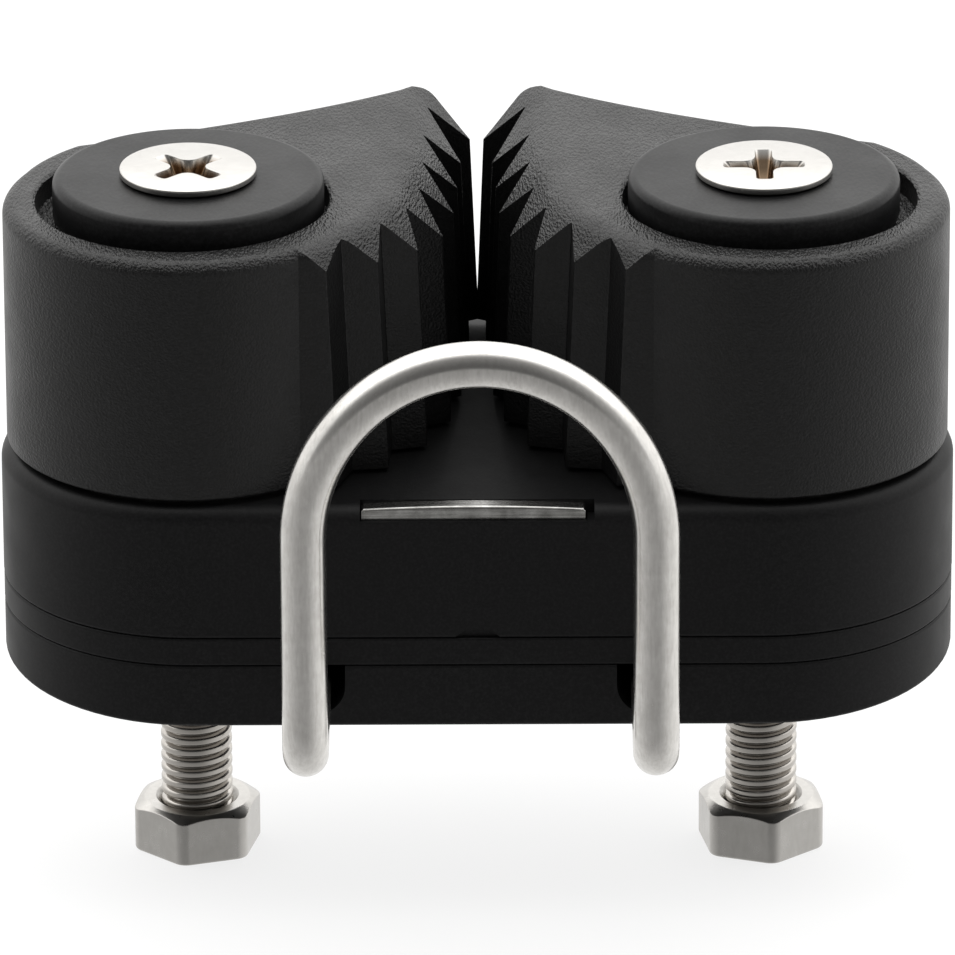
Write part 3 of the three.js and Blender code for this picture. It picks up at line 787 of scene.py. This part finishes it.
# ---- turned parts -------------------------------------------------------
def cap_body():
    lower, upper = SLEEVE_HI.z + 0.02, CAP_HI.z
    flange = BUSH_HI.z + 0.02
    r = (CAP_HI.y - CAP_LO.y) / 2
    spigot = BUSH_BORE_R - 0.05
    seat = SHANK_R + 2.02
    profile = [(SLEEVE_BORE_R, lower), (spigot, lower), (spigot, flange), (r, flange), (r, upper),
               (seat, upper), (SLEEVE_BORE_R, upper - 1.77)]
    radii = [0, 0.15, 0.1, 0.25, 0.6, 0.12, 0]
    return lathe(rounded(profile, radii, 6), 128)


def tube(r0, r1, z0, z1, edge=0.15, seg=96):
    return lathe(rounded([(r0, z0), (r1, z0), (r1, z1), (r0, z1)], edge, 3), seg)


def spring_angle(side, end):
    """Angle of a spring leg; the right spring mirrors the left one."""
    a = math.pi * 0.75 + (2 * math.pi * (SPRING_TURNS % 1) if end else 0)
    return a if side < 0 else math.pi - a


def spring_body(side):
    start, turn = spring_angle(side, 0), -side
    z0, z1 = SPRING_Z

    def at(a, z):
        return (SPRING_R * math.cos(a), SPRING_R * math.sin(a), z)

    total, corner, bend = 2 * math.pi * SPRING_TURNS, SPRING_CORNER, SPRING_LEG_BEND
    path = [at(start, SPRING_LO.z), at(start, z0 - bend)]
    for k in range(1, 8):
        s = k / 8
        path.append(at(start + turn * corner * s * s, z0 - bend + bend * (1 - (1 - s) ** 2)))
    n = 190
    for i in range(n + 1):
        t = i / n
        path.append(at(start + turn * (corner + (total - 2 * corner) * t), z0 + (z1 - z0) * t))
    for k in range(1, 8):
        s = k / 8
        a = start + turn * (total - corner + corner * (1 - (1 - s) ** 2))
        path.append(at(a, z1 + bend * s * s))
    end = start + turn * total
    path += [at(end, z1 + bend), at(end, SPRING_HI.z)]
    return sweep(path, SPRING_WIRE_R, 12)


# ---- fasteners ----------------------------------------------------------
def threaded_rod(crest, root, z0, z1, seg=64):
    """A bar with one helical ridge. Its ends are rough, to be cut off."""
    ridge = [(0.0, root), (0.05, root + 0.02)]
    ridge += [(0.19 + 0.0775 * k, crest - 0.09 * ((k - 4) / 4) ** 4) for k in range(9)]
    ridge += [(0.95, root + 0.02)]
    m = len(ridge)
    count = (math.ceil((z1 - z0) / THREAD_PITCH) + 2) * m
    verts = []
    for k in range(count + 1):
        share, r = ridge[k % m]
        z = z0 + THREAD_PITCH * (k // m + share - 1)
        for i in range(seg):
            a = 2 * math.pi * i / seg
            verts.append((r * math.cos(a), r * math.sin(a), z + THREAD_PITCH * i / seg))

    def at(k, i):
        return k * seg + i if i < seg else (k + m) * seg

    faces = []
    for k in range(count):
        for i in range(seg):
            if i == seg - 1 and k + 1 + m > count:
                continue
            faces.append((at(k, i), at(k, i + 1), at(k + 1, i + 1), at(k + 1, i)))
    low = [at(0, i) for i in range(seg)] + [at(k, 0) for k in range(m, 0, -1)]
    high = [at(count, i) for i in range(seg)] + [at(count - k, seg - 1) for k in range(1, m + 1)]
    for loop, z in ((low, z0 - THREAD_PITCH), (high, verts[-1][2])):
        centre = len(verts)
        verts.append((0, 0, z))
        for a, b in zip(loop, loop[1:] + loop[:1]):
            faces.append((a, b, centre))
    return new_body(verts, faces)


def cross_ring(z, reach, width, corner, turn):
    """One level of a cross recess: four arms, with the metal between them rounded off."""
    quarter = [(reach, -width), (reach, width), (width, width)]
    outline = []
    for k in range(4):
        a = math.radians(90 * k)
        for u, v in quarter:
            outline.append((u * math.cos(a) - v * math.sin(a), u * math.sin(a) + v * math.cos(a)))
    soft = rounded(outline, [width * 0.5, width * 0.5, corner] * 4, 4)
    a = math.radians(turn)
    return [(p.x * math.cos(a) - p.y * math.sin(a), p.x * math.sin(a) + p.y * math.cos(a), z) for p in soft]


def screw_body(side):
    top, end = SCREW_HI.z, SCREW_LO.z
    body = threaded_rod(SHANK_R, SHANK_R - THREAD_DEPTH, end - 1, THREAD_TOP + 1)
    tip = [(0, end), (SHANK_R - 0.5, end), (SHANK_R + 0.1, end + 0.6), (SHANK_R + 0.1, THREAD_TOP),
           (0, THREAD_TOP)]
    combine(body, lathe(tip, 64), "INTERSECT")
    side_low = top - HEAD_SIDE
    neck = side_low - (HEAD_R - SHANK_R)
    shank, foot = SHANK_R - 0.02, THREAD_TOP - 0.4
    head = [(0, foot), (shank, foot), (shank, neck), (HEAD_R, side_low), (HEAD_R, top - 0.03), (0, top)]
    head = rounded(head, [0, 0, 0.3, 0.08, 0.11, 0], 4, closed=False)
    combine(body, lathe(head, 128), "UNION")
    turn = RECESS_TURN[side]
    levels = [(top + 0.15, 2.85, 0.60, 0.85), (top - 0.1, 2.62, 0.56, 0.8), (top - 1.0, 1.85, 0.44, 0.6),
              (top - 1.9, 0.95, 0.32, 0.4), (top - 2.3, 0.42, 0.16, 0.1)]
    return cut(body, loft([cross_ring(z, reach, width, corner, turn) for z, reach, width, corner in levels]))


def nut_body(side):
    z0, z1 = NUT_LO.z, NUT_HI.z
    corner = NUT_AF / math.sqrt(3)
    hexagon = []
    for k in range(6):
        a = math.radians(-90 + NUT_TURN[side] + 60 * k)
        hexagon.append((corner * math.cos(a), corner * math.sin(a)))
    soft = rounded(hexagon, NUT_CORNER_R, 7)
    levels = [(z0, 0.16), (z0 + 0.05, 0.05), (z0 + 0.16, 0.0), (z1, 0.0)]
    body = loft([[(p.x * (1 - d / corner), p.y * (1 - d / corner), z) for p in soft] for z, d in levels])
    slope = (corner + 0.2 - NUT_TOP_R) * math.tan(math.radians(NUT_CHAMFER))
    cone = [(0, z0 - 1), (corner + 0.2, z0 - 1), (corner + 0.2, z1 - slope), (NUT_TOP_R, z1), (0, z1)]
    combine(body, lathe(rounded(cone, [0, 0, 0, 0.3, 0], 4, closed=False), 128), "INTERSECT")
    bevel(body, 0.12, 3, 20)
    cut(body, threaded_rod(SHANK_R + 0.05, SHANK_R - THREAD_DEPTH + 0.08, z0 - 2, z1 + 2))
    mouth = SHANK_R + 0.4
    for z, way in ((z0, 1), (z1, -1)):
        cut(body, lathe([(0, z - way), (mouth, z - way), (mouth, z), (mouth - 0.8, z + 0.8 * way),
                         (0, z + 0.8 * way)], 64))
    return body


# ---- wire ---------------------------------------------------------------
def fairlead_path():
    """Centre line of the wire, from one hooked end over the arch to the other."""
    leg_x, tail_z = WIRE_X, WIRE_TAIL_Z
    y = WIRE_LO.y + WIRE_R
    spring_z = WIRE_HI.z - WIRE_R - ARCH_H
    half = []
    for i in range(1, 41):
        a = math.radians(90 * i / 40)
        half.append((leg_x * math.sin(a), y, spring_z + ARCH_H * math.cos(a)))
    low = tail_z + WIRE_BEND
    for i in range(1, 13):
        half.append((leg_x, y, spring_z + (low - spring_z) * i / 12))
    for u, v in arc(y + WIRE_BEND, low, WIRE_BEND, 180, 270, 14)[1:]:
        half.append((leg_x, u, v))
    for v in (-18.0, -13.0):
        half.append((leg_x, v, tail_z))
    for u, v in arc(leg_x + HOOK_BEND, HOOK_Y - HOOK_BEND, HOOK_BEND, 180, 90, 10):
        half.append((u, v, tail_z))
    half += [(17.0, HOOK_Y, tail_z), (HOOK_X - 0.2, HOOK_Y, tail_z)]
    left = [(-x, v, z) for x, v, z in reversed(half)]
    crown = [(0, y, spring_z + ARCH_H)]
    return [(x + WIRE_SHIFT, v, z) for x, v, z in left + crown + half]


def wire_fairlead():
    return sweep(fairlead_path(), WIRE_R, 40, 0.2)


# ---- assembly -----------------------------------------------------------
def build_fixed(look):
    fixed = "cleat_body"
    finish_piece(riser_pad(), "riser_pad", fixed, look["riser_nylon"])
    finish_piece(spacer_plate(), "spacer_plate", fixed, look["spacer_nylon"])
    finish_piece(base(), "base", fixed, look["base_nylon"])
    finish_piece(wear_strip(), "wear_strip", fixed, look["wear_strip_steel"])
    finish_piece(wire_fairlead(), "wire_fairlead", fixed, look["wire_steel"])


def build_side(look, side, cam):
    name, x, fixed = SIDES[side], side * PIVOT_X, "cleat_body"
    cam = mirrored(copied(cam)) if side > 0 else copied(cam)
    finish_piece(moved(cam, x), f"cam_{name}", f"cam_{name}_body", look["cam_nylon"])
    turned = [
        (cap_body(), "cap", "cap_nylon"),
        (tube(BUSH_BORE_R, BUSH_R, BUSH_LO.z, BUSH_HI.z), "bush", "acetal"),
        (tube(SLEEVE_BORE_R, BUSH_BORE_R - 0.05, SLEEVE_LO.z, SLEEVE_HI.z), "sleeve", "sleeve_steel"),
        (tube(WASHER_BORE_R, WASHER_R, WASHER_LO.z, WASHER_HI.z, 0.1), "thrust_washer", "acetal"),
        (screw_body(side), "screw", "fastener_steel"),
    ]
    for body, part, slot in turned:
        finish_piece(moved(body, x), f"{part}_{name}", fixed, look[slot])
    finish_piece(moved(nut_body(side), x), f"nut_{name}", fixed, look["shaded_nut_steel"])
    spring = moved(spring_body(side), x)
    finish_spring(spring, name, look["spring_steel"])


def finish_spring(body, name, material):
    """The coil is anchored in the base at its foot; its top leg reaches up into a slot in the cam. It is
    scaled to metres, named and baked in place, joined to no body.
    """
    body.data.transform(Matrix.Scale(MM, 4))
    body.name = f"spring_{name}_detailed"
    body.data.materials.append(material)
    body.data.shade_smooth()
    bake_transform(body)
    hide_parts(f"spring_{name}")


# ---- studio -------------------------------------------------------------
VIEW_DISTANCE = 767.7
VIEW_CENTRE_Z = 16.0
VIEW_ELEVATION = 22.34
VIEW_TURN = -0.153
AXIS_TILT = 0.301          # the axis points a little below the centre
VIEW_ROLL = -0.288
LENS = 434.9

OVERHEAD_POWER = 1.6
TENT_FRONT_TO_BACK = (0.72, 1.45)
TENT_OPENING = 0.62
TENT_LID = 1.0
TENT_RIGHT = 0.25
TENT_TABLE = 0.36
FLOOR_WHITE = 0.22
FLOOR_GLOW = 0.8


def camera():
    data = bpy.data.cameras.new("camera")
    data.lens = LENS
    data.sensor_width = 36.0
    data.clip_start, data.clip_end = 0.05, 20.0
    obj = bpy.data.objects.new("camera", data)
    bpy.context.scene.collection.objects.link(obj)
    turn = Matrix.Rotation(math.radians(-VIEW_TURN), 3, "Z")
    e = math.radians(VIEW_ELEVATION)
    offset = Vector((0, -math.cos(e), math.sin(e))) * VIEW_DISTANCE + Vector((0, 0, VIEW_CENTRE_Z))
    tilt = math.radians(VIEW_ELEVATION + AXIS_TILT)
    forward = Vector((0, math.cos(tilt), -math.sin(tilt)))
    up = Vector((0, math.sin(tilt), math.cos(tilt)))
    axes = Matrix((Vector((1, 0, 0)), up, -forward)).transposed()
    rotation = turn @ axes @ Matrix.Rotation(math.radians(VIEW_ROLL), 3, "Z")
    obj.matrix_world = Matrix.Translation(turn @ offset * MM) @ rotation.to_4x4()
    bpy.context.scene.camera = obj


def area_light(name, place, target, size, power):
    data = bpy.data.lights.new(name, "AREA")
    data.shape = "RECTANGLE"
    data.size, data.size_y = size
    data.energy = power
    obj = bpy.data.objects.new(name, data)
    bpy.context.scene.collection.objects.link(obj)
    obj.location = place
    obj.rotation_euler = (Vector(target) - Vector(place)).to_track_quat("-Z", "Y").to_euler()


def studio():
    """A bright tent, lighter behind, overhead and on the right, and darker in front and low down."""
    area_light("overhead", (0, 0.1, 0.9), (0, 0, 0.015), (1.2, 0.9), OVERHEAD_POWER)
    world = bpy.data.worlds.new("world")
    bpy.context.scene.world = world
    world.use_nodes = True
    tree = world.node_tree
    axes = tree.nodes.new("ShaderNodeSeparateXYZ")
    tree.links.new(tree.nodes.new("ShaderNodeTexCoord").outputs["Generated"], axes.inputs["Vector"])
    wall = remap(tree, axes.outputs["Y"], (-1, 1), TENT_FRONT_TO_BACK)
    ahead = remap(tree, axes.outputs["Y"], (-0.25, -0.5), (0, 1), smooth=True)
    above = remap(tree, axes.outputs["Z"], (-0.1, 0.05), (0, TENT_OPENING), smooth=True)
    opening = arithmetic(tree, "MULTIPLY", ahead, above)
    overhead = remap(tree, axes.outputs["Z"], (0.28, 0.62), (0, TENT_LID), smooth=True)
    behind = remap(tree, axes.outputs["Y"], (-0.35, -0.1), (0, 1), smooth=True)
    lid = arithmetic(tree, "MULTIPLY", overhead, behind)
    table = remap(tree, axes.outputs["Z"], (0.0, -0.12), (0, TENT_TABLE), smooth=True)
    right = remap(tree, axes.outputs["X"], (0.2, 1), (0, TENT_RIGHT), smooth=True)
    wall = arithmetic(tree, "ADD", wall, right)
    light = arithmetic(tree, "ADD", arithmetic(tree, "SUBTRACT", wall, opening), lid)
    light = arithmetic(tree, "SUBTRACT", light, table)
    tree.links.new(light, tree.nodes["Background"].inputs["Strength"])
    tree.nodes["Background"].inputs["Color"].default_value = (1, 0.995, 0.985, 1)
    bpy.context.scene.view_settings.view_transform = "Standard"


def floor():
    """A white table that glows a little, so that the shadow on it stays faint."""
    half = 1.5
    z = NUT_LO.z * MM
    mesh = bpy.data.meshes.new("floor")
    corners = [(-half, -half, z), (half, -half, z), (half, half, z), (-half, half, z)]
    mesh.from_pydata(corners, [], [(0, 1, 2, 3)])
    obj = bpy.data.objects.new("floor", mesh)
    bpy.context.scene.collection.objects.link(obj)
    material, tree, shader = new_material("floor")
    coords = tree.nodes.new("ShaderNodeTexCoord").outputs["Object"]
    paper = noise(tree, 4.0, 2.0, 0.5, coords)
    paper = ramp(tree, paper, [(0.3, (FLOOR_WHITE - 0.01,) * 3), (0.7, (FLOOR_WHITE,) * 3)])
    tree.links.new(paper, shader.inputs["Base Color"])
    shader.inputs["Roughness"].default_value = 0.9
    shader.inputs["Specular IOR Level"].default_value = 0.0
    shader.inputs["Emission Color"].default_value = (1, 1, 1, 1)
    shader.inputs["Emission Strength"].default_value = FLOOR_GLOW
    mesh.materials.append(material)
    obj.visible_glossy = False


look = materials()
build_fixed(look)
left_cam = cam_body()
for which in SIDES:
    build_side(look, which, left_cam)
bpy.data.objects.remove(left_cam)
camera()
studio()
floor()
